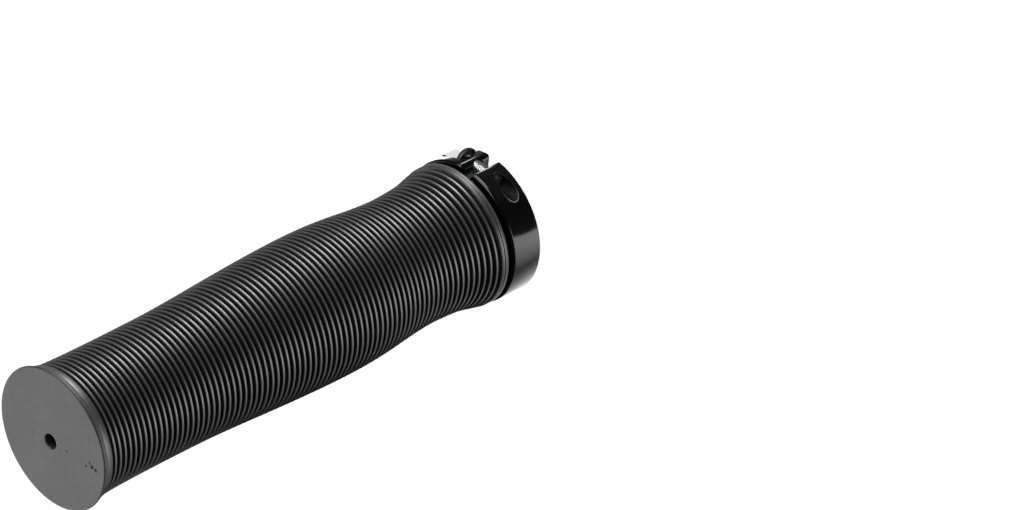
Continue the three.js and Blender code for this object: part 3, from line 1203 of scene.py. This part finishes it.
@dataclass
class Studio:
    """The pale floor, the soft lights, the surroundings that the gloss reflects, and the camera."""

    middle: Vector = field(default_factory=lambda: Vector((0, 0, 0.065)))
    floor_radius: float = 6.0
    ambient: float = 0.1
    boxes: tuple[Softbox, ...] = (
        Softbox("key_softbox", (0.753, -0.304, -0.583), 18.5, 0.45, lit=Lit.RUBBER),
        Softbox("top_softbox", (0.71, -0.21, 0.67), 12, 1.1),
        Softbox("end_softbox", (0.0, 0.81, 0.58), 12.5, 1.4),
        Softbox("side_softbox", (0.75, -0.65, 0.05), 8, 0.5),
        Softbox("collar_softbox", (0.36, 0.728, -0.583), 9, 0.8, lit=Lit.COLLAR),
        Softbox("notch_softbox", (0.806, -0.1035, -0.583), 3.2, 0.25, lit=Lit.COLLAR),
        Softbox("table_bounce", (-0.574, -0.574, -0.583), 8, 0.6, lit=Lit.RUBBER),
    )
    # What the gloss sees below the horizon: bearing from -Y towards -X in degrees, and brightness
    surroundings: tuple[tuple[float, float], ...] = (
        (-180, 0.5), (-120, 0.4), (-100, 0.13), (-60, 0.2), (-20, 0.13), (0, 0.06), (46, 0.1), (49, 3.7),
        (62, 3.6), (80, 2.2), (100, 0.45), (120, 0.95), (140, 1.2), (180, 1.2),
    )
    # Heights of direction between which those cards fade out: below, and above
    card_foot: tuple[float, float] = (-0.9, -0.78)
    card_top: tuple[float, float] = (0.15, 0.3)
    # How far the cards lean, in radians of bearing for the whole height, and the height where they don't
    card_lean: float = 0.6
    card_level: float = -0.583
    glossy_rest: float = 0.05
    # The flag behind the sleeve, a dark sheet that stands in for the grip's shadow on the table, as a painted
    # reflection: bearing as above, distance, size and foot height in metres
    flag_bearing: float = 160.0
    flag_distance: float = 0.045
    flag_size: tuple[float, float] = (0.1, 0.135)
    flag_foot: float = -0.01
    eye: Vector = field(default_factory=lambda: Vector((0, -1.819701, 1.304308)))
    forward: Vector = field(default_factory=lambda: Vector((-0.004383, 0.81251, -0.58293)))
    up: Vector = field(default_factory=lambda: Vector((0.891543, -0.260848, -0.370283)))
    lens: float = 351.5625

    def floor(self) -> bpy.types.Object:
        """Lays the floor.

        Returns:
            The floor.
        """
        bm = bmesh.new()
        bmesh.ops.create_circle(bm, cap_ends=True, segments=96, radius=self.floor_radius)
        obj = mesh_object(bm, "pale_floor")
        material = bpy.data.materials.new("white_painted_board")
        material.use_nodes = True
        tree = material.node_tree
        shader = tree.nodes["Principled BSDF"]
        place = add_node(tree, "ShaderNodeTexCoord").outputs["Object"]
        roller = add_node(tree, "ShaderNodeTexNoise", {
            "Vector": place, "Scale": 900.0, "Detail": 2.0,
        }).outputs["Fac"]
        tone = add_node(tree, "ShaderNodeMix", {
            "Factor": roller, "A": srgb("#f4f4f4"), "B": srgb("#f8f8f8"),
        }, data_type="RGBA")
        tree.links.new(tone.outputs["Result"], shader.inputs["Base Color"])
        shader.inputs["Roughness"].default_value = 0.8
        shader.inputs["Emission Color"].default_value = (1, 1, 1, 1)
        shader.inputs["Emission Strength"].default_value = 0.96
        obj.data.materials.append(material)
        obj.visible_diffuse = False
        obj.visible_glossy = False
        obj.visible_shadow = False
        return obj

    def flag(self) -> bpy.types.Object:
        """Stands a dark flag behind the sleeve, which only the gloss sees: a painted reflection of the grip's
        shadow on the table.

        Returns:
            The flag.
        """
        bm = bmesh.new()
        bmesh.ops.create_grid(bm, x_segments=1, y_segments=1, size=0.5)
        width, height = self.flag_size
        bmesh.ops.scale(bm, vec=(width, height, 1), verts=bm.verts)
        upright = Matrix.Rotation(math.radians(90), 4, "X")
        stand = Matrix.Translation((0, 0, height / 2 + self.flag_foot)) @ upright
        turn = Matrix.Rotation(math.radians(-self.flag_bearing), 4, "Z")
        back = Matrix.Translation((0, -self.flag_distance, 0))
        bmesh.ops.transform(bm, matrix=turn @ back @ stand, verts=bm.verts)
        obj = mesh_object(bm, "reflected_shadow_flag")
        material = bpy.data.materials.new("reflected_shadow_card")
        material.use_nodes = True
        shader = material.node_tree.nodes["Principled BSDF"]
        # Near black: the painted reflection of the grip's shadow on the table
        shader.inputs["Base Color"].default_value = srgb("#020202")
        shader.inputs["Specular IOR Level"].default_value = 0.0
        obj.data.materials.append(material)
        obj.visible_camera = False
        obj.visible_diffuse = False
        obj.visible_shadow = False
        obj.visible_transmission = False
        return obj

    def lights(self, pieces: dict[Part, bpy.types.Object]) -> None:
        """Hangs the softboxes.

        Args:
            pieces: The grip's pieces, which they light.
        """
        receivers = {lit: bpy.data.collections.new(f"lit_{lit.name.lower()}") for lit in Lit}
        for lit, collection in receivers.items():
            for part in lit.value:
                collection.objects.link(pieces[part])
        for box in self.boxes:
            box.build(self.middle, receivers[box.lit])

    def world(self) -> None:
        """Sets what surrounds the grip: even light, white to the camera, and cards for the gloss."""
        world = bpy.data.worlds.new("studio")
        bpy.context.scene.world = world
        world.use_nodes = True
        world.cycles.sampling_method = "NONE"
        tree = world.node_tree
        tree.nodes.clear()
        way = add_node(tree, "ShaderNodeTexCoord").outputs["Generated"]
        split = add_node(tree, "ShaderNodeSeparateXYZ", {0: way})
        back = [
            add_node(tree, "ShaderNodeMath", {
                0: split.outputs[axis], 1: -1.0,
            }, operation="MULTIPLY").outputs[0]
            for axis in ("X", "Y")
        ]
        bearing = add_node(tree, "ShaderNodeMath", {0: back[0], 1: back[1]}, operation="ARCTAN2").outputs[0]
        over_level = add_node(tree, "ShaderNodeMath", {
            0: split.outputs["Z"], 1: self.card_level,
        }, operation="SUBTRACT").outputs[0]
        leaned = add_node(tree, "ShaderNodeMath", {
            0: over_level, 1: self.card_lean, 2: bearing,
        }, operation="MULTIPLY_ADD").outputs[0]
        share = add_node(tree, "ShaderNodeMapRange", {
            "Value": leaned, "From Min": -math.pi, "From Max": math.pi,
        }).outputs["Result"]
        ramp = add_node(tree, "ShaderNodeValToRGB", {"Fac": share})
        stops = ramp.color_ramp.elements
        brightest = max(bright for _, bright in self.surroundings)
        for k, (degrees, bright) in enumerate(self.surroundings):
            place = (degrees + 180) / 360
            stop = stops[0] if k == 0 else stops[-1] if k == len(self.surroundings) - 1 else stops.new(place)
            stop.position = place
            stop.color = (bright / brightest,) * 3 + (1.0,)
        up = split.outputs["Z"]
        over = add_node(tree, "ShaderNodeMapRange", {
            "Value": up, "From Min": self.card_foot[0], "From Max": self.card_foot[1],
        }, interpolation_type="SMOOTHSTEP").outputs["Result"]
        under = add_node(tree, "ShaderNodeMapRange", {
            "Value": up, "From Min": self.card_top[0], "From Max": self.card_top[1],
            "To Min": 1.0, "To Max": 0.0,
        }, interpolation_type="SMOOTHSTEP").outputs["Result"]
        band = add_node(tree, "ShaderNodeMath", {0: over, 1: under}, operation="MULTIPLY").outputs[0]
        dark = self.glossy_rest / brightest
        tone = add_node(tree, "ShaderNodeMix", {
            "Factor": band, "A": (dark, dark, dark, 1.0), "B": ramp.outputs["Color"],
        }, data_type="RGBA").outputs["Result"]
        cards = add_node(tree, "ShaderNodeBackground", {"Color": tone, "Strength": brightest})
        even = add_node(tree, "ShaderNodeBackground", {"Color": (1, 1, 1, 1), "Strength": self.ambient})
        white = add_node(tree, "ShaderNodeBackground", {"Color": (1, 1, 1, 1), "Strength": 1.0})
        path = add_node(tree, "ShaderNodeLightPath")
        lit = add_node(tree, "ShaderNodeMixShader", {
            0: path.outputs["Is Glossy Ray"], 1: even.outputs[0], 2: cards.outputs[0],
        })
        seen = add_node(tree, "ShaderNodeMixShader", {
            0: path.outputs["Is Camera Ray"], 1: lit.outputs[0], 2: white.outputs[0],
        })
        add_node(tree, "ShaderNodeOutputWorld", {"Surface": seen.outputs[0]})

    def camera(self) -> bpy.types.Object:
        """Sets up the camera at the photograph's viewing angle.

        Returns:
            The camera.
        """
        data = bpy.data.cameras.new("photo_camera")
        data.lens = self.lens
        data.sensor_width = 36.0
        data.clip_end = 50.0
        obj = bpy.data.objects.new("photo_camera", data)
        bpy.context.scene.collection.objects.link(obj)
        forward = self.forward.normalized()
        right = forward.cross(self.up).normalized()
        turn = Matrix((right, right.cross(forward), -forward)).transposed().to_4x4()
        obj.matrix_world = Matrix.Translation(self.eye) @ turn
        bpy.context.scene.camera = obj
        return obj

    def build(self, pieces: dict[Part, bpy.types.Object]) -> None:
        """Builds the studio round the grip.

        Args:
            pieces: The grip's pieces.
        """
        bpy.context.scene.view_settings.view_transform = "Standard"
        self.camera()
        self.floor()
        self.flag()
        self.lights(pieces)
        self.world()
        LOG.info("studio: %d softboxes", len(self.boxes))


def main() -> None:
    """Builds the grip's pieces in order, then the studio round them."""
    bore = Bore()
    slot = SlotFrame()
    sleeve = RibbedSleeve(bore, MouldedRubber()).build()
    core = InnerCore(bore, MouldedNylon()).build(slot)
    collar = ClampCollar(bore, slot, AnodisedAluminium()).build()
    bolt = ClampBolt(slot, ZincPlatedSteel()).build()
    Studio().build({Part.SLEEVE: sleeve, Part.CORE: core, Part.COLLAR: collar, Part.BOLT: bolt})


if __name__ == "__main__":
    main()
